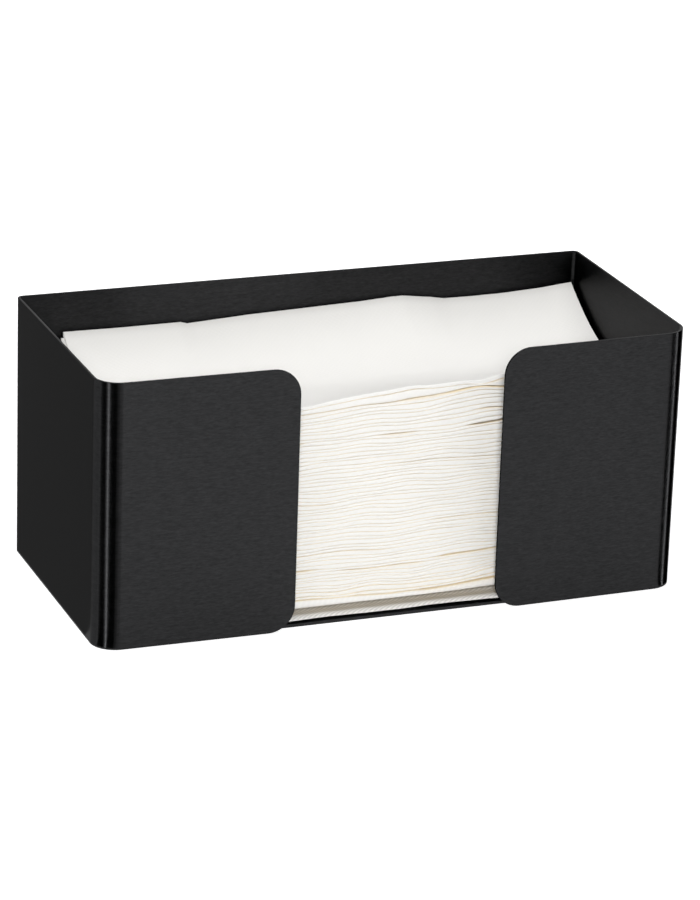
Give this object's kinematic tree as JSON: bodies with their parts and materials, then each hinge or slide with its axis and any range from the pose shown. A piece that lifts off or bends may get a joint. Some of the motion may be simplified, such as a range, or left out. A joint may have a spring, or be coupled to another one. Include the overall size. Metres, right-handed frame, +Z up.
{
  "type": "paper towel dispenser",
  "caption": "Open-topped black sheet-metal box dispenser with a wide front gap between two flaps, holding a stack of folded white paper towels.",
  "frame": {"origin": "middle of the outline of the box's underside, on the surface it stands on", "axes": "+X to the right seen from the front, along the box's length; +Y from the front gap to the back wall; +Z up"},
  "size_m": [0.28, 0.1312, 0.1244],
  "materials": {
    "black_steel": "satin black, brushed along the length of each face",
    "paper": "soft matte, embossed with fine crossed lines"
  },
  "bodies": {
    "root": {"body_shell": "black_steel", "floor_plate": "black_steel"},
    "bottom_bundle": {"bottom_towel": "paper", "lower_towels_1": "paper", "lower_towels_2": "paper", "lower_towels_3": "paper"},
    "main_bundle": {"main_towels_1": "paper", "main_towels_2": "paper", "main_towels_3": "paper", "main_towels_4": "paper", "main_towels_5": "paper", "main_towels_6": "paper"},
    "loose_bundle": {"loose_towel_1": "paper", "loose_towel_2": "paper", "loose_towel_3": "paper", "loose_towel_4": "paper", "loose_towel_5": "paper", "loose_towel_6": "paper", "loose_towel_7": "paper"},
    "third_towel": {"third_towel": "paper"},
    "second_towel": {"second_towel": "paper"},
    "top_towel": {"top_towel": "paper"}
  },
  "joints": [
    {"name": "bottom_bundle_lift", "type": "slide", "parent": "root", "child": "bottom_bundle", "axis": [0, 0, 1], "range_m": [0, 0.13]},
    {"name": "main_bundle_lift", "type": "slide", "parent": "bottom_bundle", "child": "main_bundle", "axis": [0, 0, 1], "range_m": [0, 0.115]},
    {"name": "loose_bundle_lift", "type": "slide", "parent": "main_bundle", "child": "loose_bundle", "axis": [0, 0, 1], "range_m": [0, 0.065]},
    {"name": "third_towel_lift", "type": "slide", "parent": "loose_bundle", "child": "third_towel", "axis": [0, 0, 1], "range_m": [0, 0.045]},
    {"name": "second_towel_lift", "type": "slide", "parent": "third_towel", "child": "second_towel", "axis": [0, 0, 1], "range_m": [0, 0.045]},
    {"name": "top_towel_lift", "type": "slide", "parent": "second_towel", "child": "top_towel", "axis": [0, 0, 1], "range_m": [0, 0.045]}
  ]
}
